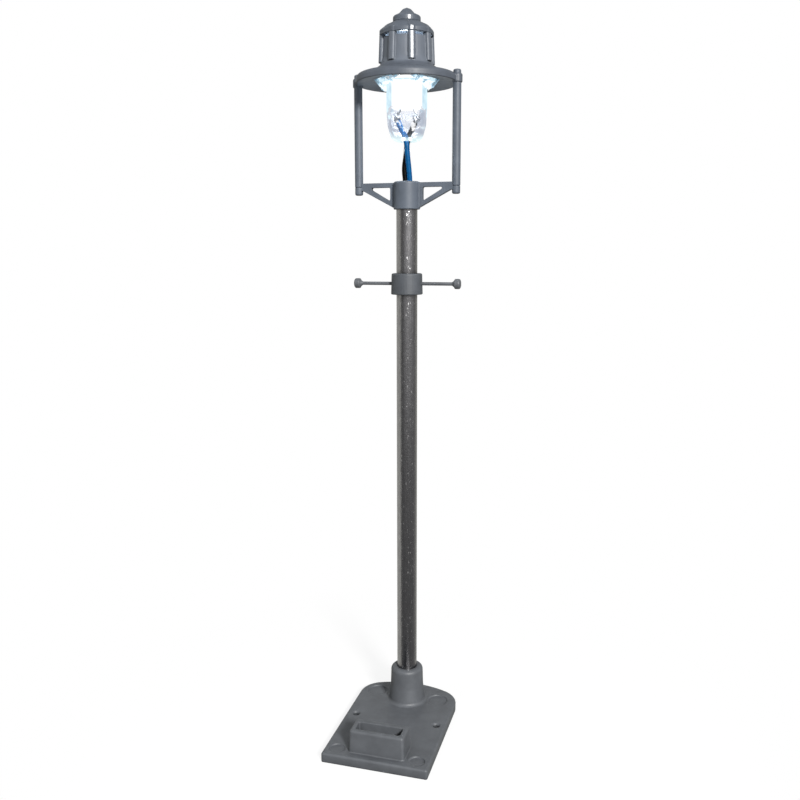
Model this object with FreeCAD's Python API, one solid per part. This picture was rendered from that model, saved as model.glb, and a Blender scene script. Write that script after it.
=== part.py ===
import FreeCAD, Part
import math
import os

# Model railway yard lamp: a lit lantern on a tube mast, with a ladder bar and a moulded base.
# Millimetres, +Z up. Every piece is drawn about the mast axis, then moved by MAST_Y so that the
# origin is under the middle of the whole lamp. -Y is the front, the side with the plug socket.

V = FreeCAD.Vector

# ---- driving dimensions -------------------------------------------------------------------

FIT_GAP = 0.05              # radial running clearance of the two pieces that move on the mast

TUBE_R = 2.0                # mast tube, 4.0 mm outside, 0.4 mm wall
TUBE_BORE_R = 1.6
TUBE_FOOT_Z = 1.3
TUBE_TOP_Z = 105.7

PLATE_HALF_WIDTH = 10.23    # base plate, measured from the mast axis
PLATE_FRONT = 23.46
PLATE_THICKNESS = 1.84
PLATE_BACK_R = 18.0
PLATE_BACK_Y = 6.3
PLATE_CORNER_R = 5.0
PLATE_EDGE_ROUND = 0.4

COLUMN_TOP_Z = 9.2          # column that holds the tube
COLUMN_TOP_R = 3.24
COLUMN_FOOT_R = 3.75

SOCKET_HALF_WIDTH = 5.22    # raised socket for the plug, with drafted walls
SOCKET_DRAFT = 0.2
SOCKET_FRONT_Y = -21.64
SOCKET_BACK_Y = -17.1
SOCKET_TOP_Z = 6.15
SLOT_HALF_WIDTH = 4.34
SLOT_FRONT_Y = -20.7
SLOT_BACK_Y = -18.3

SCREW_X = 8.305             # screw holes, and the round moulding marks at the corners
SCREW_Y = -8.59
SCREW_R = 0.6
COUNTERSINK_R = 0.9
COUNTERSINK_DEPTH = 0.35
MARK_DEPTH = 0.25
MARKS = [(7.65, -21.12, 1.5), (-7.8, -21.12, 1.5), (6.4, 0.7, 2.0), (-6.8, 1.2, 2.0)]

CHANNEL_HALF_WIDTH = 1.2    # wire channel in the underside
CHANNEL_DEPTH = 1.15

COLLAR_Z = (85.7, 89.7)     # ladder bar
COLLAR_TOP_R = 2.93
COLLAR_FOOT_R = 3.04
BAR_Z = 87.75
BAR_ROD_R = 0.33
BAR_KNOB_R = 0.96
BAR_END_X = 10.47

HUB_Z = (101.6, 106.7)      # lantern frame
HUB_R = 2.5
WIRE_HOLE_R = 1.2
ARM_THICKNESS = 1.05
ARM_TOP_Z = 106.5
ARM_ROOT_Z = 101.75
ARM_END_Z = 105.1

POST_X = 9.44               # posts
POST_R = 0.78
POST_FOOT_Z = 105.75
POST_SHOULDER_Z = 124.0
POST_TOP_Z = 126.2
POST_TOP_R = 0.72
POST_PIN_R = 0.4
POST_PIN_Z = 105.0
BOSS_R = 0.76
BOSS_FOOT_Z = 104.3

BRIM_R = 9.45               # canopy
BRIM_Z = 124.1
BRIM_TOP_Z = 125.5
LUG_R = 0.97                # eyes on the brim that take the tops of the posts
LUG_FOOT_Z = 123.9
CEILING_Z = 124.7
NECK_R = 4.95
DRUM_R = 4.45
DRUM_BORE_R = 3.85
DRUM_TOP_Z = 131.9
RIB_COUNT = 8
RIB_TURN = -64.1            # direction of the first rib, degrees from +X
RIB_WIDTH = 1.3
RIB_ROUND = 0.45
RIB_FOOT_R = 5.22
RIB_FOOT_Z = 127.6
RIB_TOP_R = 5.0

CAP_Z = 132.35              # chimney cap, carried by the ribs so that a slit stays open below it
CAP_R = 4.9
CAP_SHOULDER_Z = 133.1
CAP_TOP_Z = 134.75
FINIAL_R = 2.52
LAMP_TOP_Z = 137.3

GLOBE_R = 3.76              # clear globe
GLOBE_WALL = 0.5
GLOBE_FOOT_Z = 113.87
GLOBE_HOLE_R = 1.15
GLOBE_FLANGE_R = 5.4
GLUE_R = 6.3

LED_R = 2.5                 # 5 mm light-emitting diode, dome up
LED_FLANGE_R = 2.9
LED_Z = 119.9
LED_LENGTH = 8.6
LEAD_R = 0.25
LEAD_X = 1.27

WIRE_R = 0.5                # two insulated wires, 1.0 mm outside
WIRE_X = 0.55
WIRE_SPLIT_Z = 96.0
CONTACT_FOOT_X = 2.4
PAIR_TURN = 16.0            # degrees that the wires' plane is turned from the XZ plane
SOLDER_R = 0.42

MAST_Y = (PLATE_FRONT - BRIM_R) / 2
BIG = 50.0                  # larger than any section that it cuts


# ---- drawing helpers ----------------------------------------------------------------------

def rounded_wire(corners, place):
    """Closed wire whose corners (a, b, radius) are rounded by tangent arcs."""
    edges = []
    last_exit = None
    first_entry = None
    for index, (a, b, radius) in enumerate(corners):
        corner = V(a, b, 0)
        before = V(corners[index - 1][0], corners[index - 1][1], 0)
        ahead = corners[(index + 1) % len(corners)]
        back = (before - corner).normalize()
        on = (V(ahead[0], ahead[1], 0) - corner).normalize()
        half = back.getAngle(on) / 2
        reach = radius / math.tan(half)
        entry = corner + back * reach
        leave = corner + on * reach
        if last_exit is not None and (entry - last_exit).Length > 1e-6:
            edges.append(Part.LineSegment(place(last_exit), place(entry)).toShape())
        if radius > 0:
            middle = corner + (back + on).normalize() * (radius / math.sin(half) - radius)
            edges.append(Part.Arc(place(entry), place(middle), place(leave)).toShape())
        if first_entry is None:
            first_entry = entry
        last_exit = leave
    edges.append(Part.LineSegment(place(last_exit), place(first_entry)).toShape())
    return Part.Wire(edges)


def turned(corners, x=0.0):
    """Solid of revolution about a vertical axis at x, from corners (radius, height, rounding)."""
    face = Part.Face(rounded_wire(corners, lambda p: V(p.x, 0, p.y)))
    solid = face.revolve(V(0, 0, 0), V(0, 0, 1), 360)
    solid.translate(V(x, 0, 0))
    return solid


def turned_along_x(corners):
    """Solid of revolution about the X axis, from corners (x, radius, rounding)."""
    face = Part.Face(rounded_wire(corners, lambda p: V(p.x, 0, p.y)))
    return face.revolve(V(0, 0, 0), V(1, 0, 0), 360)


def upright_plate(corners, thickness):
    """Plate standing in the XZ plane, centred on y = 0."""
    wire = rounded_wire(corners, lambda p: V(p.x, -thickness / 2, p.y))
    return Part.Face(wire).extrude(V(0, thickness, 0))


def flat_block(half_width, y_front, y_back, z_low, z_high, rounding=0.0):
    """Upright block centred on x = 0, with rounded vertical edges."""
    corners = [(-half_width, y_front, rounding), (half_width, y_front, rounding),
               (half_width, y_back, rounding), (-half_width, y_back, rounding)]
    wire = rounded_wire(corners, lambda p: V(p.x, p.y, z_low))
    return Part.Face(wire).extrude(V(0, 0, z_high - z_low))


def cylinder(radius, z_low, z_high, x=0.0, y=0.0):
    return Part.makeCylinder(radius, z_high - z_low, V(x, y, z_low))


def edges_at_height(solid, height):
    """Edges that lie wholly at one height."""
    def level(edge):
        return abs(edge.BoundBox.ZMin - height) < 1e-4 and abs(edge.BoundBox.ZMax - height) < 1e-4
    return [edge for edge in solid.Edges if level(edge)]


def upright_edges(plate, y_from, y_to):
    """Full-height edges of a plate between two distances along Y."""
    height = plate.BoundBox.ZLength
    return [edge for edge in plate.Edges
            if edge.BoundBox.ZLength > 0.9 * height and y_from < edge.CenterOfMass.y < y_to]


def wire_along(points, radius, longest_reach=BIG):
    """Round wire of straight runs joined by tangent arcs, each as large as its runs allow."""
    runs = [V(*point) for point in points]
    edges = []
    here = runs[0]
    for before, corner, after in zip(runs, runs[1:], runs[2:]):
        back = before - corner
        on = after - corner
        reach = min(0.45 * min(back.Length, on.Length), longest_reach)
        back.normalize()
        on.normalize()
        half = back.getAngle(on) / 2
        arc_r = reach * math.tan(half)
        entry = corner + back * reach
        leave = corner + on * reach
        middle = corner + (back + on).normalize() * (arc_r / math.sin(half) - arc_r)
        edges.append(Part.LineSegment(here, entry).toShape())
        edges.append(Part.Arc(entry, middle, leave).toShape())
        here = leave
    edges.append(Part.LineSegment(here, runs[-1]).toShape())
    path = Part.Wire(edges)
    start = (runs[1] - runs[0]).normalize()
    section = Part.Wire([Part.makeCircle(radius, runs[0], start)])
    return path.makePipeShell([section], True, False)


def mirrored(solid):
    """The same piece on the other side of the mast."""
    return solid.mirror(V(0, 0, 0), V(1, 0, 0))


# ---- base ---------------------------------------------------------------------------------

def base_plate():
    centre_y = PLATE_BACK_Y - PLATE_BACK_R
    plate = flat_block(PLATE_HALF_WIDTH, -PLATE_FRONT, PLATE_BACK_Y + 1, 0, PLATE_THICKNESS)
    plate = plate.common(cylinder(PLATE_BACK_R, 0, PLATE_THICKNESS, 0, centre_y))
    plate = plate.makeFillet(PLATE_CORNER_R, upright_edges(plate, 0, BIG))
    plate = plate.makeFillet(PLATE_EDGE_ROUND, upright_edges(plate, -BIG, 1 - PLATE_FRONT))
    plate = plate.makeFillet(PLATE_EDGE_ROUND, edges_at_height(plate, PLATE_THICKNESS))

    inside = TUBE_R - 0.5
    column = turned([
        (inside, 1.0, 0), (COLUMN_FOOT_R + 1.0, 1.0, 0),
        (COLUMN_FOOT_R + 1.0, PLATE_THICKNESS, 0), (COLUMN_FOOT_R, PLATE_THICKNESS, 0.7),
        (COLUMN_TOP_R + 0.12, 5.2, 4.0), (COLUMN_TOP_R, COLUMN_TOP_Z, 0.8),
        (inside, COLUMN_TOP_Z, 0)])
    outlines = []
    for height, draft in ((PLATE_THICKNESS - 0.5, SOCKET_DRAFT), (SOCKET_TOP_Z, 0)):
        block = flat_block(SOCKET_HALF_WIDTH + draft, SOCKET_FRONT_Y - draft,
                           SOCKET_BACK_Y + draft, height, height + 1, 0.5)
        outlines.append(Part.Wire(Part.sortEdges(edges_at_height(block, height))[0]))
    socket = Part.makeLoft(outlines, True, True)
    socket = socket.makeFillet(0.45, edges_at_height(socket, SOCKET_TOP_Z))
    body = plate.fuse([column, socket])

    cuts = [cylinder(TUBE_R, TUBE_FOOT_Z, BIG), cylinder(TUBE_R - 0.5, -1, BIG)]
    cuts.append(flat_block(SLOT_HALF_WIDTH, SLOT_FRONT_Y, SLOT_BACK_Y, -1, BIG, 0.3))
    cuts.append(flat_block(CHANNEL_HALF_WIDTH, SLOT_BACK_Y - 0.5, 1.2, -1, CHANNEL_DEPTH))
    sink_z = PLATE_THICKNESS - COUNTERSINK_DEPTH
    for side in (-1, 1):
        cuts.append(cylinder(SCREW_R, -1, BIG, side * SCREW_X, SCREW_Y))
        cuts.append(Part.makeCone(SCREW_R, COUNTERSINK_R, COUNTERSINK_DEPTH,
                                  V(side * SCREW_X, SCREW_Y, sink_z)))
    for mark_x, mark_y, mark_r in MARKS:
        cuts.append(cylinder(mark_r, PLATE_THICKNESS - MARK_DEPTH, 5.0, mark_x, mark_y))
    return body.cut(cuts)


def mast_tube():
    return cylinder(TUBE_R, TUBE_FOOT_Z, TUBE_TOP_Z).cut(cylinder(TUBE_BORE_R, 0, BIG * 3))


def lower_wire(side):
    """Wire from the tube down into the base channel and across to its contact."""
    channel_z = 0.62
    end_y = (SLOT_FRONT_Y + SLOT_BACK_Y) / 2
    points = [(side * WIRE_X, 0, WIRE_SPLIT_Z), (side * WIRE_X, 0, channel_z),
              (side * WIRE_X, end_y, channel_z), (side * CONTACT_FOOT_X, end_y, channel_z)]
    return wire_along(points, WIRE_R, 3 * WIRE_R)


def socket_contact():
    """Folded spring contact held between the long walls of the socket."""
    foot, knee, tip = (3.3, 0.25), (2.9, 3.3), (3.2, 3.8)
    strip = 0.3
    outline = [(CONTACT_FOOT_X, foot[1]), (foot[0] + strip, foot[1]), (foot[0] + strip, 2.2),
               (knee[0] + strip, knee[1]), (tip[0] + strip, tip[1]), tip, knee, (foot[0], 2.2),
               (foot[0], foot[1] + strip), (CONTACT_FOOT_X, foot[1] + strip)]
    wire = Part.makePolygon([V(x, SLOT_FRONT_Y, z) for x, z in outline + outline[:1]])
    return Part.Face(wire).extrude(V(0, SLOT_BACK_Y - SLOT_FRONT_Y, 0))


# ---- ladder bar ---------------------------------------------------------------------------

def ladder_collar():
    low, high = COLLAR_Z
    bore = TUBE_R + FIT_GAP
    ring = turned([(bore, low, 0.1), (COLLAR_FOOT_R, low, 0.15), (COLLAR_TOP_R, high, 0.3),
                   (bore, high, 0.1)])
    hole = Part.makeCylinder(BAR_ROD_R, BIG, V(TUBE_R + 0.5, 0, BAR_Z), V(1, 0, 0))
    return ring.cut([hole, mirrored(hole)])


def ladder_rod():
    knob_x = BAR_END_X - 1.15
    rod = turned_along_x([
        (TUBE_R + 0.5, 0, 0), (TUBE_R + 0.5, BAR_ROD_R, 0), (knob_x - 0.45, BAR_ROD_R, 0.4),
        (knob_x, BAR_KNOB_R - 0.25, 0.1), (knob_x + 0.05, BAR_KNOB_R, 0.2),
        (BAR_END_X, BAR_KNOB_R, 0.35), (BAR_END_X, 0, 0)])
    rod.translate(V(0, 0, BAR_Z))
    return rod


# ---- lantern frame ------------------------------------------------------------------------

def lantern_frame():
    low, high = HUB_Z
    bore = TUBE_R + FIT_GAP
    hub = turned([(bore, low, 0.1), (HUB_R, low, 0.12), (HUB_R, high, 0.35),
                  (WIRE_HOLE_R, high, 0.15), (WIRE_HOLE_R, TUBE_TOP_Z, 0), (bore, TUBE_TOP_Z, 0)])
    arm = upright_plate([
        (HUB_R - 0.3, ARM_TOP_Z, 0), (HUB_R - 0.3, ARM_ROOT_Z, 0),
        (POST_X - 0.9, ARM_END_Z, 0.5), (POST_X, ARM_END_Z, 0), (POST_X, ARM_TOP_Z, 0)],
        ARM_THICKNESS)
    window = upright_plate([
        (3.15, 105.65, 0.3), (3.15, 103.1, 0.25), (7.5, 105.65, 0.25)], 2 * ARM_THICKNESS)
    arm = arm.cut(window)
    boss = turned([(0, BOSS_FOOT_Z, 0), (BOSS_R, BOSS_FOOT_Z, 0.3), (BOSS_R, POST_FOOT_Z, 0),
                   (0, POST_FOOT_Z, 0)], POST_X)
    end_zone = cylinder(POST_R, POST_FOOT_Z, BIG * 3, POST_X)
    outside = flat_block(BIG, -BIG, BIG, 0, BIG * 3).translated(V(BIG + POST_X, 0, 0))
    arm = arm.cut([end_zone, outside]).fuse(boss)
    hole = cylinder(POST_PIN_R, POST_PIN_Z, BIG * 3, POST_X)
    arm = arm.cut(hole)
    keep_bore = cylinder(bore, 0, TUBE_TOP_Z)
    return hub.fuse([arm, mirrored(arm)]).cut(keep_bore).removeSplitter()


def post():
    return turned([
        (0, POST_PIN_Z, 0), (POST_PIN_R, POST_PIN_Z, 0), (POST_PIN_R, POST_FOOT_Z, 0),
        (POST_R, POST_FOOT_Z, 0.15), (POST_R, POST_SHOULDER_Z, 0),
        (POST_TOP_R, POST_SHOULDER_Z, 0), (POST_TOP_R, POST_TOP_Z, 0.3), (0, POST_TOP_Z, 0)],
        POST_X)


# ---- canopy, cap and finial ---------------------------------------------------------------

def ribs_of(corners):
    """Ribs of one profile (radius, height, rounding), evenly spaced round the chimney."""
    first = upright_plate(corners, RIB_WIDTH)
    outer = first.BoundBox.XMax - 0.5
    long_edges = [edge for edge in first.Edges
                  if edge.BoundBox.XMin > outer and edge.BoundBox.ZLength > RIB_ROUND
                  and edge.BoundBox.YLength < 1e-3]
    first = first.makeFillet(RIB_ROUND, long_edges)
    ribs = []
    for index in range(RIB_COUNT):
        rib = first.copy()
        rib.rotate(V(0, 0, 0), V(0, 0, 1), RIB_TURN + 360.0 * index / RIB_COUNT)
        ribs.append(rib)
    return ribs


def canopy():
    """Brim, chimney drum and the ribs' main lengths, with an eye at each post."""
    shell = turned([
        (LED_R, CEILING_Z, 0), (GLUE_R + 0.3, CEILING_Z, 1.0), (BRIM_R - 0.3, BRIM_Z, 0.1),
        (BRIM_R, BRIM_Z, 0.12), (BRIM_R, BRIM_TOP_Z, 0.9), (NECK_R + 1.5, 126.2, 1.8),
        (NECK_R, 127.2, 0.7), (DRUM_R + 0.15, 128.2, 1.2),
        (DRUM_R, DRUM_TOP_Z, 0.1), (DRUM_BORE_R, DRUM_TOP_Z, 0.1), (DRUM_BORE_R, 126.4, 0.3),
        (LED_R, 126.1, 0)])
    ribs = ribs_of([
        (DRUM_BORE_R + 0.1, RIB_FOOT_Z, 0), (RIB_FOOT_R, RIB_FOOT_Z, 0),
        (RIB_TOP_R + 0.02, CAP_Z, 0), (DRUM_BORE_R + 0.1, CAP_Z, 0)])
    lug = turned([(0, LUG_FOOT_Z, 0), (LUG_R, LUG_FOOT_Z, 0.15), (LUG_R, BRIM_TOP_Z, 0.35),
                  (0, BRIM_TOP_Z, 0)], POST_X)
    return shell.fuse(ribs + [lug, mirrored(lug)]).cut([post(), mirrored(post())])


def chimney_cap():
    """Low dome over the chimney, with the ribs' tops fading into its shoulder."""
    shell = turned([
        (DRUM_BORE_R + 0.2, CAP_Z, 0), (CAP_R, CAP_Z, 0.1), (CAP_R, CAP_SHOULDER_Z, 0.3),
        (4.05, 134.0, 0.9), (FINIAL_R, CAP_TOP_Z, 0), (1.0, CAP_TOP_Z, 0),
        (1.0, CAP_TOP_Z - 0.6, 0), (DRUM_BORE_R + 0.2, CAP_SHOULDER_Z, 0.4)])
    ribs = ribs_of([
        (CAP_R - 0.6, CAP_Z, 0), (RIB_TOP_R + 0.02, CAP_Z, 0),
        (RIB_TOP_R, CAP_SHOULDER_Z + 0.1, 0), (CAP_R - 1.1, CAP_SHOULDER_Z + 1.0, 0)])
    return shell.fuse(ribs)


def finial():
    return turned([
        (0, CAP_TOP_Z - 0.6, 0), (1.0, CAP_TOP_Z - 0.6, 0), (1.0, CAP_TOP_Z, 0),
        (FINIAL_R + 0.03, CAP_TOP_Z, 0), (FINIAL_R, 135.72, 0.35), (1.5, 136.2, 0.8),
        (0.8, 136.95, 0.45), (0, LAMP_TOP_Z, 0)])


# ---- globe and light ----------------------------------------------------------------------

def globe():
    inner = GLOBE_R - GLOBE_WALL
    foot = GLOBE_FOOT_Z
    return turned([
        (GLOBE_HOLE_R, foot, 0.15), (2.75, foot, 1.6), (GLOBE_R - 0.2, foot + 2.9, 3.0),
        (GLOBE_R, foot + 6.0, 0), (GLOBE_R, CEILING_Z - 0.5, 0.2),
        (GLOBE_FLANGE_R, CEILING_Z - 0.5, 0.15), (GLOBE_FLANGE_R, CEILING_Z, 0),
        (inner, CEILING_Z, 0), (inner, foot + 6.0, 0), (inner - 0.2, foot + 3.0, 2.6),
        (2.5, foot + GLOBE_WALL, 1.2), (GLOBE_HOLE_R, foot + GLOBE_WALL, 0.15)])


def globe_glue():
    return turned([(GLOBE_FLANGE_R, CEILING_Z - 0.45, 0), (GLUE_R, CEILING_Z, 0),
                   (GLOBE_FLANGE_R, CEILING_Z, 0)])


def led_lead(side):
    """Lead from inside the lens, out of its base and spread towards the wire's end."""
    x = side * LEAD_X
    points = [(x, 0, LED_Z + 2.4), (x, 0, LED_Z - 0.3), (side * 1.75, 0, LED_Z - 0.95),
              (side * 1.95, 0, LED_Z - 1.9)]
    return wire_along(points, LEAD_R)


def led_anode():
    return led_lead(1)


def led_cathode():
    """Lead with the broad plate that carries the chip."""
    plate = upright_plate([
        (-LEAD_X - 0.2, LED_Z + 2.3, 0), (0.5, LED_Z + 2.3, 0), (0.5, LED_Z + 3.1, 0.1),
        (-LEAD_X - 0.2, LED_Z + 3.1, 0.1)], 2 * LEAD_R)
    return led_lead(-1).fuse(plate)


def led_chip():
    return turned([(0, LED_Z + 3.1, 0), (0.45, LED_Z + 3.1, 0), (0.38, LED_Z + 3.45, 0.08),
                   (0, LED_Z + 3.45, 0)])


def led_lens():
    top = LED_Z + LED_LENGTH
    body = turned([
        (0, LED_Z, 0), (LED_FLANGE_R, LED_Z, 0.1), (LED_FLANGE_R, LED_Z + 1.0, 0.15),
        (LED_R, LED_Z + 1.0, 0), (LED_R, top, LED_R - 0.05), (0, top, 0)])
    return body.cut([led_anode(), led_cathode(), led_chip()])


def upper_wire(points):
    return wire_along(points, WIRE_R)


def wire_point(right, back, height):
    """Point at a distance to the right and to the back, seen square to the twisted pair."""
    turn = math.radians(PAIR_TURN)
    return (right * math.cos(turn) - back * math.sin(turn),
            right * math.sin(turn) + back * math.cos(turn), height)


def blue_wire_upper():
    return upper_wire([
        (WIRE_X, 0, WIRE_SPLIT_Z), (WIRE_X, 0, 104.6), wire_point(0.57, -0.26, 106.6),
        wire_point(0.38, -0.38, 109.0), wire_point(0.08, -0.55, 111.5),
        wire_point(-0.02, -0.55, 113.8), wire_point(-0.7, -0.45, 115.5),
        wire_point(-1.62, -0.05, 117.5)])


def black_wire_upper():
    return upper_wire([
        (-WIRE_X, 0, WIRE_SPLIT_Z), (-WIRE_X, 0, 104.6), wire_point(-0.2, 0.42, 106.6),
        wire_point(-0.52, 0.34, 109.0), wire_point(-0.12, 0.55, 111.5),
        wire_point(0.04, 0.55, 113.8), wire_point(0.55, 0.45, 115.4),
        wire_point(1.62, 0.05, 117.5)])


def solder_joint(side, wire, lead):
    """Bead of solder that joins a wire's end to its lead."""
    bead = turned([(0, 117.25, 0), (SOLDER_R * 1.45, 117.4, 0.2), (SOLDER_R * 1.4, 118.4, 0.35),
                   (0, 118.9, 0)], side * 1.83)
    return bead.cut([wire, lead])


# ---- all pieces ---------------------------------------------------------------------------

def pieces():
    rod, side_post, contact = ladder_rod(), post(), socket_contact()
    blue, black = blue_wire_upper(), black_wire_upper()
    anode, cathode = led_anode(), led_cathode()
    return {
        "base_plate": base_plate(),
        "mast_tube": mast_tube(),
        "blue_wire_lower": lower_wire(1),
        "black_wire_lower": lower_wire(-1),
        "contact_right": contact,
        "contact_left": mirrored(contact),
        "ladder_collar": ladder_collar(),
        "ladder_rod_right": rod,
        "ladder_rod_left": mirrored(rod),
        "lantern_frame": lantern_frame(),
        "right_post": side_post,
        "left_post": mirrored(side_post),
        "canopy": canopy(),
        "chimney_cap": chimney_cap(),
        "finial": finial(),
        "globe": globe(),
        "globe_glue": globe_glue(),
        "led_lens": led_lens(),
        "led_chip": led_chip(),
        "led_anode": anode,
        "led_cathode": cathode,
        "blue_wire_upper": blue,
        "black_wire_upper": black,
        "solder_blue": solder_joint(-1, blue, cathode),
        "solder_black": solder_joint(1, black, anode),
    }


os.makedirs("parts", exist_ok=True)
for name, shape in pieces().items():
    shape.translate(V(0, MAST_Y, 0))
    shape.exportStep("parts/" + name + ".step")
    print(name, shape.isValid(), len(shape.Solids), round(shape.Volume, 3))
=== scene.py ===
import math

import bmesh
import bpy
from mathutils import Matrix, Vector, noise


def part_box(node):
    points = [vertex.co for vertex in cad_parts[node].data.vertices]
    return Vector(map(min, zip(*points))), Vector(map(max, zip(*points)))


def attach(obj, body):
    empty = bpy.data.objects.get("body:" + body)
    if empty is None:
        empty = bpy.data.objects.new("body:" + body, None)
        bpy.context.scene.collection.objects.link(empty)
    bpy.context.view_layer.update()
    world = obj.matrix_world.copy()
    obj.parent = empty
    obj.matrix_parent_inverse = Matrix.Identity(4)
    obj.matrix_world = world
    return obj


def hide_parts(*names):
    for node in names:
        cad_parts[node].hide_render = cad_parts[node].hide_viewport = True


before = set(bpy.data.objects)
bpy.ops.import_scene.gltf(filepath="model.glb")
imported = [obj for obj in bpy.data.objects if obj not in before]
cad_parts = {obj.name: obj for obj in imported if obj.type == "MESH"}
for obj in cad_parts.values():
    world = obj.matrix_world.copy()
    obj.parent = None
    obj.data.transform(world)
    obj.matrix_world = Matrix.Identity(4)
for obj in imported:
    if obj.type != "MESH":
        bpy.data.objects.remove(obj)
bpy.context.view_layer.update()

# Model railway yard lamp. The mouldings are remeshed from the CAD frame so that their edges are
# as soft as cast plastic, round pieces are turned from profiles, and the wires follow curves.
# Profiles are in millimetres about the mast axis, with the height above the base's underside.

MM = 0.001
RING = 128                  # segments round a turned piece

tube_low, tube_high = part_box("mast_tube")
MAST = Vector(((tube_low.x + tube_high.x) / 2, (tube_low.y + tube_high.y) / 2, 0))
TUBE_R = (tube_high.x - tube_low.x) / 2 / MM
TUBE_WALL = 0.4


def top_of(node):
    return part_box(node)[1].z / MM


def foot_of(node):
    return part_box(node)[0].z / MM


# ---- camera -------------------------------------------------------------------------------

CAMERA_PLACE = Vector((0.0432, -0.1493, 0.0941))
CAMERA_HEADING = 15.93      # degrees anticlockwise from +Y
CAMERA_PITCH = 10.14        # degrees below the horizon
CAMERA_ROLL = 0.1           # degrees clockwise
CAMERA_LENS = 37.77

camera_data = bpy.data.cameras.new("camera")
camera_data.lens = CAMERA_LENS
camera_data.sensor_width = 36
camera_data.clip_start = 0.002
camera = bpy.data.objects.new("camera", camera_data)
camera.location = CAMERA_PLACE
turn = Matrix.Rotation(math.radians(CAMERA_HEADING), 4, "Z")
tilt = Matrix.Rotation(math.radians(90 - CAMERA_PITCH), 4, "X")
roll = Matrix.Rotation(math.radians(-CAMERA_ROLL), 4, "Z")
camera.rotation_euler = (turn @ tilt @ roll).to_euler()
bpy.context.scene.collection.objects.link(camera)
bpy.context.scene.camera = camera


# ---- mesh helpers -------------------------------------------------------------------------

def new_piece(name, mesh):
    piece = bpy.data.objects.new(name, mesh)
    bpy.context.scene.collection.objects.link(piece)
    return piece


def finish_piece(piece, body, material, nodes):
    """Gives a piece its material and body, and lets it stand for its CAD nodes."""
    piece.data.materials.clear()
    piece.data.materials.append(material)
    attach(piece, body)
    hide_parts(*nodes)
    return piece


def rounded_outline(corners, steps=7):
    """Points of a closed outline whose corners (a, b, radius) are rounded by tangent arcs."""
    points = []
    for index, (a, b, radius) in enumerate(corners):
        corner = Vector((a, b))
        if radius == 0:
            points.append(corner)
            continue
        back = (Vector(corners[index - 1][:2]) - corner).normalized()
        on = (Vector(corners[(index + 1) % len(corners)][:2]) - corner).normalized()
        half = back.angle(on) / 2
        reach = radius / math.tan(half)
        centre = corner + (back + on).normalized() * radius / math.sin(half)
        start = corner + back * reach - centre
        sweep = start.angle_signed(corner + on * reach - centre)
        for step in range(steps + 1):
            points.append(centre + Matrix.Rotation(-sweep * step / steps, 2) @ start)
    return points


def split_runs(points, longest):
    """The same closed outline with no run longer than the given length."""
    out = []
    for index, point in enumerate(points):
        ahead = points[(index + 1) % len(points)]
        count = max(1, math.ceil((ahead - point).length / longest))
        out += [point.lerp(ahead, step / count) for step in range(count)]
    return out


def turned(name, corners, centre=(0, 0), longest=2.0, ring=RING):
    """Piece of revolution about an upright axis, from corners (radius, height, rounding)."""
    outline = split_runs(rounded_outline(corners), longest)
    mesh_builder = bmesh.new()
    rings = []
    for radius, height in outline:
        if radius < 1e-6:
            rings.append([mesh_builder.verts.new((centre[0], centre[1], height))])
            continue
        loop = []
        for step in range(ring):
            angle = 2 * math.pi * step / ring
            loop.append(mesh_builder.verts.new(
                (centre[0] + radius * math.cos(angle), centre[1] + radius * math.sin(angle),
                 height)))
        rings.append(loop)
    for low, high in zip(rings, rings[1:] + rings[:1]):
        if len(low) == 1 and len(high) == 1:
            continue
        for step in range(ring):
            ahead = (step + 1) % ring
            corners_here = [low[step % len(low)], low[ahead % len(low)],
                            high[ahead % len(high)], high[step % len(high)]]
            unique = list(dict.fromkeys(corners_here))
            mesh_builder.faces.new(unique)
    bmesh.ops.recalc_face_normals(mesh_builder, faces=mesh_builder.faces)
    return to_piece(name, mesh_builder)


def to_piece(name, mesh_builder):
    """Moves a mesh drawn in millimetres about the mast axis into the frame."""
    mesh = bpy.data.meshes.new(name)
    mesh_builder.to_mesh(mesh)
    mesh_builder.free()
    mesh.transform(Matrix.Translation(MAST) @ Matrix.Scale(MM, 4))
    mesh.shade_smooth()
    mesh.set_sharp_from_angle(angle=math.radians(40))
    return new_piece(name, mesh)


def apply_modifiers(piece):
    depsgraph = bpy.context.evaluated_depsgraph_get()
    mesh = bpy.data.meshes.new_from_object(piece.evaluated_get(depsgraph))
    piece.modifiers.clear()
    piece.data = mesh
    return piece


def cast_copy(name, node, voxel, passes, keep):
    """Soft-edged copy of a CAD moulding: remeshed in millimetres, smoothed and thinned out."""
    piece = new_piece(name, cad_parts[node].data.copy())
    piece.data.transform(Matrix.Scale(1 / MM, 4))
    welded = bmesh.new()
    welded.from_mesh(piece.data)
    bmesh.ops.remove_doubles(welded, verts=welded.verts, dist=1e-4)
    welded.to_mesh(piece.data)
    welded.free()
    remesh = piece.modifiers.new("remesh", "REMESH")
    remesh.mode = "VOXEL"
    remesh.voxel_size = voxel
    soften = piece.modifiers.new("soften", "SMOOTH")
    soften.factor = 0.5
    soften.iterations = passes
    thin = piece.modifiers.new("thin", "DECIMATE")
    thin.ratio = keep
    apply_modifiers(piece)
    piece.data.transform(Matrix.Scale(MM, 4))
    piece.data.shade_smooth()
    return piece


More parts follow.
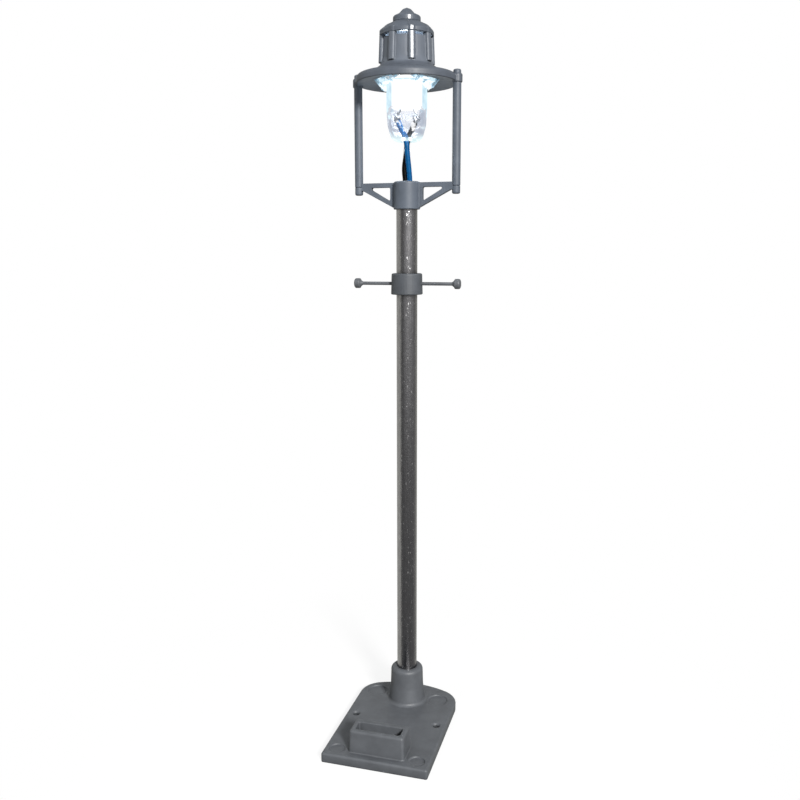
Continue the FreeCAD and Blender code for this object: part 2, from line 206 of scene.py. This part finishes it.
def round_wire(name, points, radius):
    """Round wire along a smooth curve through control points in millimetres."""
    curve = bpy.data.curves.new(name, "CURVE")
    curve.dimensions = "3D"
    curve.bevel_depth = radius * MM
    curve.bevel_resolution = 7
    curve.resolution_u = 10
    curve.use_fill_caps = True
    spline = curve.splines.new("NURBS")
    spline.points.add(len(points) - 1)
    for target, (x, y, z) in zip(spline.points, points):
        target.co = (*(MAST + Vector((x, y, z)) * MM), 1)
    spline.order_u = 3
    spline.use_endpoint_u = True
    source = bpy.data.objects.new(name + "_curve", curve)
    bpy.context.scene.collection.objects.link(source)
    depsgraph = bpy.context.evaluated_depsgraph_get()
    mesh = bpy.data.meshes.new_from_object(source.evaluated_get(depsgraph))
    bpy.data.objects.remove(source)
    mesh.name = name
    mesh.shade_smooth()
    mesh.set_sharp_from_angle(angle=math.radians(50))
    return new_piece(name, mesh)


def lump(name, centre, radii, rough):
    """Uneven bead: a ball stretched to three radii, with bumps of the given depth."""
    mesh_builder = bmesh.new()
    bmesh.ops.create_icosphere(mesh_builder, subdivisions=5, radius=1.0)
    for vert in mesh_builder.verts:
        bumps = noise.noise(vert.co * 1.6 + Vector(centre))
        size = Vector(radii) * (1 + rough * bumps)
        vert.co = Vector(centre) + Vector(a * b for a, b in zip(vert.co, size))
    return to_piece(name, mesh_builder)


# ---- material helpers ---------------------------------------------------------------------

class Nodes:
    """Short ways to add and link the nodes of one tree."""

    def __init__(self, tree):
        self.tree = tree

    def node(self, kind, **settings):
        made = self.tree.nodes.new(kind)
        for key, value in settings.items():
            setattr(made, key, value)
        return made

    def link(self, source, target):
        self.tree.links.new(source, target)

    def feed(self, target, value):
        """Links a socket to an input, or writes a plain value into it."""
        if isinstance(value, bpy.types.NodeSocket):
            self.link(value, target)
        elif isinstance(value, tuple):
            target.default_value = (*value, 1)
        else:
            target.default_value = value

    def ramp(self, source, stops):
        """Colour ramp with stops (position, colour or grey)."""
        ramp = self.node("ShaderNodeValToRGB")
        elements = ramp.color_ramp.elements
        while len(elements) < len(stops):
            elements.new(0.5)
        for element, (place, value) in zip(elements, stops):
            colour = value if isinstance(value, tuple) else (value, value, value)
            element.position = place
            element.color = (*colour, 1)
        self.link(source, ramp.inputs["Fac"])
        return ramp.outputs["Color"]

    def mix(self, factor, first, second):
        """Mix of two colours."""
        mixer = self.node("ShaderNodeMix", data_type="RGBA")
        for socket, value in ((0, factor), (6, first), (7, second)):
            self.feed(mixer.inputs[socket], value)
        return mixer.outputs[2]

    def math(self, operation, first, second=0.0):
        made = self.node("ShaderNodeMath", operation=operation)
        self.feed(made.inputs[0], first)
        self.feed(made.inputs[1], second)
        return made.outputs[0]

    def split(self, vector):
        """The three parts of a vector."""
        parts = self.node("ShaderNodeSeparateXYZ")
        self.link(vector, parts.inputs[0])
        return parts.outputs

    def spread(self, value, low, high):
        """0 where the value is low or less, 1 where it is high or more, smooth between."""
        spread = self.node("ShaderNodeMapRange", interpolation_type="SMOOTHSTEP")
        spread.inputs["From Min"].default_value = low
        spread.inputs["From Max"].default_value = high
        self.link(value, spread.inputs["Value"])
        return spread.outputs["Result"]

    def blend(self, factor, first, second):
        """Mix of two surface shaders."""
        mixer = self.node("ShaderNodeMixShader")
        self.feed(mixer.inputs[0], factor)
        self.link(first, mixer.inputs[1])
        self.link(second, mixer.inputs[2])
        return mixer.outputs[0]


class Shader(Nodes):
    """Builds one node material; positions in it are millimetres in the frame."""

    def __init__(self, name):
        self.material = bpy.data.materials.new(name)
        self.material.use_nodes = True
        super().__init__(self.material.node_tree)
        self.surface = self.tree.nodes["Principled BSDF"]
        self.output = self.tree.nodes["Material Output"]
        coordinates = self.node("ShaderNodeTexCoord")
        self.position = self.node("ShaderNodeVectorMath", operation="SCALE")
        self.link(coordinates.outputs["Object"], self.position.inputs[0])
        self.position.inputs["Scale"].default_value = 1 / MM

    def noise(self, scale, detail=4, stretch=(1, 1, 1), roughness=0.55):
        """Noise with its features per millimetre in scale."""
        mapping = self.node("ShaderNodeMapping")
        mapping.inputs["Scale"].default_value = stretch
        self.link(self.position.outputs[0], mapping.inputs[0])
        texture = self.node("ShaderNodeTexNoise")
        texture.inputs["Scale"].default_value = scale
        texture.inputs["Detail"].default_value = detail
        texture.inputs["Roughness"].default_value = roughness
        self.link(mapping.outputs[0], texture.inputs["Vector"])
        return texture.outputs["Fac"]

    def bump(self, layers):
        """Bump from layers of (height socket, height in mm, strength)."""
        normal = None
        for height, depth, strength in layers:
            bump = self.node("ShaderNodeBump")
            bump.inputs["Strength"].default_value = strength
            bump.inputs["Distance"].default_value = depth * MM
            self.link(height, bump.inputs["Height"])
            if normal is not None:
                self.link(normal, bump.inputs["Normal"])
            normal = bump.outputs["Normal"]
        self.link(normal, self.surface.inputs["Normal"])

    def set(self, **values):
        """Sets or links inputs of the surface shader; underscores stand for spaces."""
        for key, value in values.items():
            self.feed(self.surface.inputs[key.replace("_", " ")], value)

    def height(self, low, high):
        """0 at one height in millimetres and 1 at another."""
        return self.spread(self.split(self.position.outputs[0])["Z"], low, high)

    def from_axis(self):
        """Distances to the right of and behind the mast axis in millimetres."""
        across = self.split(self.position.outputs[0])
        return across["X"], self.math("SUBTRACT", across["Y"], MAST.y / MM)

    def azimuth(self):
        """Angle about the mast axis in radians; 0 is in front and pi / 2 is +X."""
        right, back = self.from_axis()
        return self.math("ARCTAN2", right, self.math("MULTIPLY", back, -1.0))

    def glow(self, colour, strength):
        emission = self.node("ShaderNodeEmission")
        self.feed(emission.inputs["Color"], colour)
        self.feed(emission.inputs["Strength"], strength)
        return emission.outputs[0]

    def hemmed_in(self, reach, stops):
        """Ramp over how open the surface is, 0 to 1, within a reach in millimetres."""
        hollow = self.node("ShaderNodeAmbientOcclusion", samples=8)
        hollow.inputs["Distance"].default_value = reach * MM
        return self.ramp(hollow.outputs["AO"], stops)

    def let_light_through(self, shader):
        """The given surface, except that it casts no shadow."""
        path = self.node("ShaderNodeLightPath")
        clear = self.node("ShaderNodeBsdfTransparent")
        seen = self.blend(path.outputs["Is Shadow Ray"], shader, clear.outputs[0])
        self.link(seen, self.output.inputs["Surface"])


def moulding_material(name, colour, rough, shine, polish=0.0, painted_drum_light=0.0):
    """Satin slate-grey plastic: faint mottling, fine grain, recesses darkened as painted shade,
    and paler edges, part wear and part painted highlight. Above the brim it is painted paler,
    as painted light, and the front rib is smoother by the polish."""
    make = Shader(name)
    pale = tuple(channel * 1.16 for channel in colour)
    dark = tuple(channel * 0.86 for channel in colour)
    cloud = make.noise(0.35, detail=5)
    mottled = make.mix(make.ramp(cloud, [(0.35, 0.0), (0.65, 1.0)]), dark, pale)
    grain = make.noise(7.0, detail=3)
    tinted = make.mix(0.3, mottled, make.ramp(grain, [(0.3, dark), (0.7, pale)]))
    geometry = make.node("ShaderNodeNewGeometry")
    # pale edges: part wear, part painted highlight along rounded edges
    edge = make.ramp(geometry.outputs["Pointiness"], [(0.53, 0.0), (0.62, 0.06)])
    # painted shade: recesses and corners are darkened by how hemmed in they are
    painted_recess_shade = make.hemmed_in(2.5, [(0.25, 0.75), (0.8, 0.0)])
    wear_and_edge_highlight = make.mix(edge, tinted, tuple(channel * 1.6 for channel in colour))
    recess_shaded = make.mix(painted_recess_shade, wear_and_edge_highlight, tuple(channel * 0.3 for channel in colour))
    # painted light: above the brim the canopy is mixed towards a paler colour
    drum = make.height(*DRUM_FOOT_Z)
    with_painted_drum_light = make.mix(make.math("MULTIPLY", drum, painted_drum_light), recess_shaded, (0.25, 0.28, 0.33))
    make.set(Base_Color=with_painted_drum_light, Specular_IOR_Level=shine)
    patchy = make.ramp(make.noise(1.1, detail=6), [(0.3, rough - 0.05), (0.7, rough + 0.05)])
    off_rib = make.math("ABSOLUTE", make.math("SUBTRACT", make.azimuth(), RIB_AZIMUTH))
    on_rib = make.math("SUBTRACT", 1.0, make.spread(off_rib, 0.12, 0.2))
    smoother = make.math("MULTIPLY", make.math("MULTIPLY", drum, on_rib), polish)
    make.set(Roughness=make.math("SUBTRACT", patchy, smoother))
    make.bump([(cloud, 0.05, 0.2), (grain, 0.012, 0.3)])
    return make.material


def tube_material():
    """Drawn metal: smooth and mirror-like, with fine pits, dull stains and bright nicks."""
    make = Shader("drawn_tube")
    streak = make.noise(5.0, detail=5, stretch=(1, 1, 0.05), roughness=0.7)
    stain = make.noise(2.6, detail=8, stretch=(1, 1, 0.45), roughness=0.8)
    pit = make.noise(3.5, detail=5, stretch=(1, 1, 0.5), roughness=0.7)
    nick = make.noise(4.2, detail=3, stretch=(1, 1, 0.35))
    metal = make.ramp(streak, [(0.3, (0.30, 0.297, 0.306)), (0.7, (0.50, 0.495, 0.51))])
    dull = make.ramp(stain, [(0.42, 0.0), (0.62, 0.5)])
    stained = make.mix(dull, metal, (0.22, 0.21, 0.215))
    bright = make.ramp(nick, [(0.62, 0.0), (0.72, 0.55)])
    # painted shade: the metal is darkened where other parts hem it in, at the socket, collar and
    # hub
    shaded = make.mix(make.hemmed_in(1.5, [(0.4, 0.8), (0.9, 0.0)]), stained, (0.04, 0.04, 0.04))
    make.set(Base_Color=make.mix(bright, shaded, (0.95, 0.95, 0.95)), Metallic=1.0)
    smooth = make.ramp(stain, [(0.35, 0.13), (0.65, 0.24)])
    make.set(Roughness=make.mix(bright, smooth, (0.5, 0.5, 0.5)))
    make.bump([(streak, 0.008, 0.3), (pit, 0.05, 0.8), (bright, 0.02, 0.5)])
    return make.material


def insulation_material(name, colour, shine):
    """Soft extruded wire insulation."""
    make = Shader(name)
    cloud = make.noise(1.2, detail=4)
    darker = tuple(channel * 0.7 for channel in colour)
    make.set(Base_Color=make.mix(make.ramp(cloud, [(0.35, 0.0), (0.65, 1.0)]), darker, colour))
    make.set(Roughness=make.ramp(make.noise(4.0), [(0.3, 0.25), (0.7, 0.38)]))
    below_globe = make.math("SUBTRACT", 1.0, make.height(*GLOBE_MOUTH_Z))
    make.set(Specular_IOR_Level=make.math("MULTIPLY", below_globe, shine))
    make.bump([(make.noise(2.5, stretch=(1, 1, 0.3)), 0.02, 0.3)])
    return make.material


def metal_material(name, colour, rough):
    """Plain metal with fine scratches."""
    make = Shader(name)
    scratch = make.noise(6.0, detail=5, stretch=(1, 1, 0.2))
    darker = tuple(channel * 0.6 for channel in colour)
    make.set(Base_Color=make.ramp(scratch, [(0.3, darker), (0.7, colour)]), Metallic=1.0)
    make.set(Roughness=make.ramp(make.noise(3.0), [(0.3, rough * 0.8), (0.7, rough * 1.3)]))
    make.bump([(scratch, 0.01, 0.3)])
    return make.material


def globe_material(clear_below, lit_above):
    """Clear moulded globe with painted glow: bluish at its edges, and the diode's light higher up.
    """
    make = Shader("clear_globe")
    make.set(Base_Color=(0.86, 0.88, 0.93), Roughness=0.03, IOR=1.46)
    make.set(Transmission_Weight=1.0)
    make.bump([(make.noise(0.6, detail=2), 0.05, 0.25)])
    facing = make.node("ShaderNodeLayerWeight")
    facing.inputs["Blend"].default_value = 0.5
    rim = make.ramp(facing.outputs["Facing"], [(0.0, 0.04), (0.15, 0.10), (0.4, 0.5), (0.9, 0.85)])
    cloud = make.ramp(make.noise(0.7, detail=4), [(0.35, 0.0), (0.65, 1.0)])
    low = make.mix(cloud, (0.38, 0.42, 0.52), (0.55, 0.62, 0.71))
    # painted glow at the edges, grey-lilac low down and cyan higher up, in place of haze
    painted_rim_glow_colour = make.mix(make.height(114.2, 115.4), (0.78, 0.97, 1.0), low)
    painted_rim_glow = make.blend(rim, make.surface.outputs["BSDF"], make.glow(painted_rim_glow_colour, 1.0))
    # painted glow of the diode's light: white in the middle, bluish to the sides, ragged at its
    # foot
    side = make.mix(cloud, (0.50, 0.69, 0.80), (0.72, 0.90, 0.98))
    core = make.mix(make.spread(facing.outputs["Facing"], 0.28, 0.42), (1.0, 1.0, 1.0), side)
    ragged = make.math("ADD", make.height(clear_below, lit_above), cloud)
    lit = make.ramp(ragged, [(0.70, 0.0), (0.95, 1.0)])
    make.let_light_through(make.blend(lit, painted_rim_glow, make.glow(core, 1.1)))
    return make.material


def lit_material(name, colour, strength):
    """Lit translucent resin: brightness varies a little over its surface."""
    make = Shader(name)
    cloud = make.noise(0.9, detail=3)
    tint = tuple(channel * 0.92 for channel in colour)
    make.set(Base_Color=colour, Roughness=0.2)
    make.set(Emission_Color=make.ramp(cloud, [(0.3, tint), (0.7, colour)]))
    make.set(Emission_Strength=strength)
    make.let_light_through(make.surface.outputs["BSDF"])
    return make.material


def glue_material():
    """Hardened clear glue, with a painted glow in uneven patches that stands in for the diode's
    light.
    """
    make = Shader("clear_glue")
    right, back = make.from_axis()
    squares = make.math("ADD", make.math("POWER", right, 2.0), make.math("POWER", back, 2.0))
    radius = make.math("SQRT", squares)
    near = make.math("DIVIDE", make.math("SUBTRACT", 6.6, radius), 2.6)
    cloud = make.noise(0.75, detail=5, roughness=0.65)
    patch = make.math("MULTIPLY", make.math("SUBTRACT", cloud, 0.38), 1.5)
    level = make.math("ADD", make.math("MULTIPLY", near, 0.5), patch)
    # painted glow, brightest near the flange and in uneven patches
    tint = make.ramp(level, [(0.2, (0.10, 0.21, 0.30)), (0.42, (0.36, 0.62, 0.80)),
                             (0.62, (0.95, 1.0, 1.0))])
    make.set(Base_Color=(0.08, 0.09, 0.11), Roughness=0.2, Emission_Color=tint)
    make.set(Emission_Strength=make.ramp(level, [(0.15, 0.0), (0.5, 1.1)]))
    make.bump([(cloud, 0.15, 0.5)])
    clear = make.node("ShaderNodeBsdfTransparent")
    filmy = make.blend(make.ramp(level, [(0.15, 0.0), (0.35, 1.0)]), clear.outputs[0],
                       make.surface.outputs["BSDF"])
    make.let_light_through(filmy)
    return make.material


# ---- materials ----------------------------------------------------------------------------

RIB_AZIMUTH = math.radians(25.9)    # the rib that faces the front right
DRUM_FOOT_Z = (126.8, 127.6)        # where the brim turns into the chimney drum
GLOBE_MOUTH_Z = (113.6, 114.4)      # where the wires go into the globe

# The same slate plastic in several copies, darker or bluer by part for how light falls on each:
# painted light and shade.
BASE_MOULDING = moulding_material("base_moulding", (0.085, 0.091, 0.101), 0.50, 0.45)
MOULDING = moulding_material("slate_moulding", (0.076, 0.090, 0.113), 0.52, 0.4)
BAR_MOULDING = moulding_material("bar_moulding", (0.062, 0.068, 0.078), 0.52, 0.4)
CANOPY_MOULDING = moulding_material(
    "canopy_moulding", (0.064, 0.074, 0.092), 0.50, 0.45, polish=0.2, painted_drum_light=0.15)
CAP_MOULDING = moulding_material("cap_moulding", (0.064, 0.075, 0.094), 0.48, 0.45, polish=0.2)
TUBE = tube_material()
BLUE = insulation_material("blue_insulation", (0.001, 0.070, 0.20), 0.15)
BLACK = insulation_material("black_insulation", (0.002, 0.002, 0.002), 0.08)
TINNED = metal_material("tinned_wire", (0.34, 0.35, 0.36), 0.35)
BRASS = metal_material("brass_strip", (0.75, 0.55, 0.24), 0.3)
GLOBE = globe_material(118.9, 120.2)
LENS = lit_material("lit_lens", (0.92, 0.97, 1.0), 6.0)
CHIP = lit_material("lit_chip", (1.0, 0.96, 0.85), 10.0)
GLUE = glue_material()


# ---- mast ---------------------------------------------------------------------------------

def build_mast():
    base = cast_copy("base_moulding", "base_plate", 0.085, 2, 0.35)
    finish_piece(base, "mast", BASE_MOULDING, ["base_plate"])
    bore = TUBE_R - TUBE_WALL
    tube = turned("tube", [
        (bore, foot_of("mast_tube"), 0.06), (TUBE_R, foot_of("mast_tube"), 0.1),
        (TUBE_R, top_of("mast_tube"), 0.1), (bore, top_of("mast_tube"), 0.06)])
    finish_piece(tube, "mast", TUBE, ["mast_tube"])


def build_ladder_bar():
    collar = cast_copy("collar_moulding", "ladder_collar", 0.06, 4, 0.5)
    finish_piece(collar, "ladder_bar", BAR_MOULDING, ["ladder_collar"])
    for side in ("left", "right"):
        rod = cast_copy(side + "_rod_moulding", "ladder_rod_" + side, 0.04, 4, 0.5)
        finish_piece(rod, "ladder_bar", BASE_MOULDING, ["ladder_rod_" + side])


# ---- lantern ------------------------------------------------------------------------------

def build_lantern_mouldings():
    for name, node, voxel, material in (
            ("frame_moulding", "lantern_frame", 0.06, MOULDING),
            ("left_post_moulding", "left_post", 0.05, MOULDING),
            ("right_post_moulding", "right_post", 0.05, MOULDING),
            ("canopy_moulding", "canopy", 0.06, CANOPY_MOULDING),
            ("cap_moulding", "chimney_cap", 0.06, CAP_MOULDING),
            ("finial_moulding", "finial", 0.05, CAP_MOULDING)):
        piece = cast_copy(name, node, voxel, 4, 0.5)
        finish_piece(piece, "lantern", material, [node])


def keep_cad_node(node, material):
    """A CAD node whose shape is right keeps its mesh and gets its material."""
    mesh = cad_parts[node].data
    mesh.materials.clear()
    mesh.materials.append(material)


GLOBE_R = 3.76
GLOBE_WALL = 0.5
GLOBE_HOLE_R = 1.15
FLANGE_R = 5.4
WIRE_R = 0.5
WIRE_X = 0.55                   # each wire's distance from the mast axis, in the tube
WIRE_START_Z = 96.03            # just above the lower halves, which stay with the mast
PAIR_TURN = math.radians(16)    # the wires' plane is turned by this from the XZ plane


def wire_point(right, back, height):
    """Point at a distance to the right and to the back, seen square to the twisted pair."""
    return (right * math.cos(PAIR_TURN) - back * math.sin(PAIR_TURN),
            right * math.sin(PAIR_TURN) + back * math.cos(PAIR_TURN), height)


def build_globe():
    foot, top = foot_of("globe"), top_of("globe")
    inner = GLOBE_R - GLOBE_WALL
    shell = turned("clear_globe_shell", [
        (GLOBE_HOLE_R, foot, 0.2), (2.75, foot, 1.6), (GLOBE_R - 0.2, foot + 2.9, 3.0),
        (GLOBE_R, foot + 6.0, 0), (GLOBE_R, top - GLOBE_WALL, 0.2),
        (FLANGE_R, top - GLOBE_WALL, 0.2), (FLANGE_R, top, 0), (inner, top, 0),
        (inner, foot + 6.0, 0), (inner - 0.2, foot + 3.0, 2.6), (2.5, foot + GLOBE_WALL, 1.2),
        (GLOBE_HOLE_R, foot + GLOBE_WALL, 0.2)], longest=0.5)
    finish_piece(shell, "lantern", GLOBE, ["globe"])
    build_glue(top)


def build_glue(top):
    """Glue squeezed out round the globe's flange: an uneven ring with ragged edges."""
    mesh_builder = bmesh.new()
    rings = []
    for fraction in (0.0, 0.25, 0.5, 0.75, 0.92, 1.0):
        loop = []
        for step in range(4 * RING):
            angle = 2 * math.pi * step / (4 * RING)
            around = Vector((math.cos(angle), math.sin(angle), 0))
            spread = 1.7 + 1.2 * noise.noise(around * 2.0) + 0.5 * noise.noise(around * 7.0)
            reach = 4.0 + min(2.3, max(0.6, spread)) * fraction
            run = 0.7 + 0.9 * around.x ** 2
            thick = run * (1 - fraction ** 2) * (0.8 + 0.6 * noise.noise(around * 4 * reach))
            loop.append(mesh_builder.verts.new((reach * around.x, reach * around.y,
                                                top - max(0.05, thick))))
        rings.append(loop)
    rings.append([mesh_builder.verts.new((v.co.x, v.co.y, top)) for v in rings[-1]])
    rings.append([mesh_builder.verts.new((v.co.x, v.co.y, top)) for v in rings[0]])
    for low, high in zip(rings, rings[1:] + rings[:1]):
        for step in range(4 * RING):
            ahead = (step + 1) % (4 * RING)
            mesh_builder.faces.new((low[step], low[ahead], high[ahead], high[step]))
    bmesh.ops.recalc_face_normals(mesh_builder, faces=mesh_builder.faces)
    finish_piece(to_piece("glue_ring", mesh_builder), "lantern", GLUE, ["globe_glue"])


def build_wires():
    blue = round_wire("blue_wire_bent", [
        (WIRE_X, 0, WIRE_START_Z), (WIRE_X, 0, 101), (WIRE_X, 0, 104.6),
        wire_point(0.57, -0.26, 106.6),
        wire_point(0.38, -0.38, 109.0), wire_point(0.08, -0.55, 111.5),
        wire_point(-0.02, -0.55, 113.8), wire_point(-0.7, -0.45, 115.5),
        wire_point(-1.62, -0.05, 117.5)], WIRE_R)
    finish_piece(blue, "lantern", BLUE, ["blue_wire_upper"])
    black = round_wire("black_wire_bent", [
        (-WIRE_X, 0, WIRE_START_Z), (-WIRE_X, 0, 101), (-WIRE_X, 0, 104.6),
        wire_point(-0.2, 0.42, 106.6),
        wire_point(-0.52, 0.34, 109.0), wire_point(-0.12, 0.55, 111.5),
        wire_point(0.04, 0.55, 113.8), wire_point(0.55, 0.45, 115.4),
        wire_point(1.62, 0.05, 117.5)], WIRE_R)
    finish_piece(black, "lantern", BLACK, ["black_wire_upper"])
    for name, side in (("blue", -1), ("black", 1)):
        bead = lump(name + "_solder_bead", (side * 1.83, 0, 118.05), (0.6, 0.58, 0.78), 0.35)
        finish_piece(bead, "lantern", TINNED, ["solder_" + name])


def keep_inner_pieces():
    keep_cad_node("led_lens", LENS)
    keep_cad_node("led_chip", CHIP)
    for node in ("led_anode", "led_cathode"):
        keep_cad_node(node, TINNED)
    for node in ("contact_left", "contact_right"):
        keep_cad_node(node, BRASS)
    keep_cad_node("blue_wire_lower", BLUE)
    keep_cad_node("black_wire_lower", BLACK)


# ---- stage --------------------------------------------------------------------------------

def build_stage():
    """Pale floor that runs out into white, with the lamp's soft shadow on it."""
    floor_mesh = bmesh.new()
    bmesh.ops.create_circle(floor_mesh, cap_ends=True, segments=96, radius=6.0)
    mesh = bpy.data.meshes.new("floor")
    floor_mesh.to_mesh(mesh)
    floor_mesh.free()
    floor = new_piece("floor", mesh)
    paint = Shader("pale_floor")
    path = paint.node("ShaderNodeLightPath")
    tone = paint.ramp(paint.noise(0.02, detail=3), [(0.3, 0.88), (0.7, 0.92)])
    paint.set(Base_Color=paint.mix(path.outputs["Is Camera Ray"], (0.14, 0.14, 0.14), tone))
    paint.set(Roughness=0.8)
    away = paint.node("ShaderNodeVectorMath", operation="LENGTH")
    paint.link(paint.position.outputs[0], away.inputs[0])
    distance = paint.math("DIVIDE", away.outputs["Value"], 120.0)
    white = paint.ramp(distance, [(0.1, 0.85), (0.6, 1.0)])
    seen = paint.math("MAXIMUM", path.outputs["Is Camera Ray"],
                      path.outputs["Is Transmission Ray"])
    low, high = (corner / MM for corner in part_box("base_plate"))
    across = paint.split(paint.position.outputs[0])
    beyond_side = paint.math("GREATER_THAN", paint.math("ABSOLUTE", across["X"]), high.x - 0.5)
    off_middle = paint.math("SUBTRACT", across["Y"], (low.y + high.y) / 2)
    beyond_end = paint.math("GREATER_THAN", paint.math("ABSOLUTE", off_middle),
                            (high.y - low.y) / 2 - 1.0)
    open_floor = paint.math("MAXIMUM", beyond_side, beyond_end)
    share = paint.math("MULTIPLY", paint.math("MULTIPLY", white, seen), open_floor)
    shown = paint.blend(share, paint.surface.outputs["BSDF"], paint.glow((1.0, 1.0, 1.0), 1.0))
    paint.link(shown, paint.output.inputs["Surface"])
    mesh.materials.append(paint.material)
    floor.visible_glossy = False


COOL_WHITE = (0.97, 1.0, 1.0)


def area_light(name, place, target, size, power, colour):
    data = bpy.data.lights.new(name, "AREA")
    data.shape = "SQUARE"
    data.size = size
    data.energy = power
    data.color = colour
    light = bpy.data.objects.new(name, data)
    light.location = place
    away = Vector(place) - Vector(target)
    light.rotation_euler = away.to_track_quat("Z", "Y").to_euler()
    bpy.context.scene.collection.objects.link(light)
    return light


def diode_light(name, height, radius, power):
    """Part of the diode's bluish light, on the mast axis."""
    data = bpy.data.lights.new(name, "POINT")
    data.energy = power
    data.shadow_soft_size = radius * MM
    data.color = (0.80, 0.92, 1.0)
    light = bpy.data.objects.new(name, data)
    light.location = MAST + Vector((0, 0, height)) * MM
    bpy.context.scene.collection.objects.link(light)


def at_azimuth(stops):
    """Ramp stops for a full turn, from azimuths in degrees; 0 is in front, 90 is +X."""
    return [((azimuth + 180) / 360, tone) for azimuth, tone in stops]


def build_world():
    """White behind the lamp. The room that lights it is pale at its back and sides, dark in
    front below the camera's level, and brightest overhead."""
    world = bpy.data.worlds.new("studio")
    world.use_nodes = True
    sky = Nodes(world.node_tree)
    coordinates = sky.node("ShaderNodeTexCoord")
    towards = sky.split(coordinates.outputs["Generated"])
    azimuth = sky.math("ARCTAN2", towards["X"], sky.math("MULTIPLY", towards["Y"], -1.0))
    turn = sky.math("ADD", sky.math("DIVIDE", azimuth, 2 * math.pi), 0.5)
    left = [(-180, (0.45, 0.45, 0.42)), (-164, (0.58, 0.58, 0.54)), (-62, (0.58, 0.58, 0.54))]
    right = [(112, 0.2), (134, (0.42, 0.42, 0.39)), (180, (0.45, 0.45, 0.42))]
    below = sky.ramp(turn, at_azimuth(left + [(-52, 0.13), (60, 0.13)] + right))
    level = sky.ramp(turn, at_azimuth(left + [(-50, 0.16), (-22, 0.18), (-5, 0.45),
                                              (70, 0.45)] + right))
    around = sky.mix(sky.spread(towards["Z"], -0.3, 0.0), below, level)
    overhead = sky.mix(sky.spread(towards["Z"], 0.2, 0.9), around, (0.42, 0.43, 0.44))
    path = sky.node("ShaderNodeLightPath")
    seen = sky.math("MAXIMUM", path.outputs["Is Camera Ray"], path.outputs["Is Transmission Ray"])
    share = sky.math("SUBTRACT", 1.0, sky.math("MULTIPLY", path.outputs["Is Diffuse Ray"], 0.2))
    background = world.node_tree.nodes["Background"]
    sky.feed(background.inputs["Color"], sky.mix(seen, overhead, (1.0, 1.0, 1.0)))
    sky.feed(background.inputs["Strength"], share)
    bpy.context.scene.world = world


def build_lighting():
    area_light("key", (0.326, -0.433, 0.327), (0, 0, 0.06), 0.09, 5.9, (1.0, 0.99, 0.97))
    front = area_light("front_fill", (-0.07, -0.06, 0.16), (0, 0, 0.12), 0.06, 0.04, COOL_WHITE)
    back = area_light("back_fill", (-0.2, 0.45, 0.04), (0, 0, 0.08), 0.3, 1.0, COOL_WHITE)
    for fill in (front, back):
        fill.visible_camera = False
        fill.visible_glossy = False
    diode_light("diode_light", 122.2, 2.2, 0.003)
    diode_light("globe_foot_light", 112.4, 1.6, 0.0014)
    diode_light("chimney_light", 131.0, 1.0, 0.002)
    bpy.context.scene.view_settings.view_transform = "Standard"


build_mast()
build_ladder_bar()
build_lantern_mouldings()
build_globe()
build_wires()
keep_inner_pieces()
build_stage()
build_world()
build_lighting()
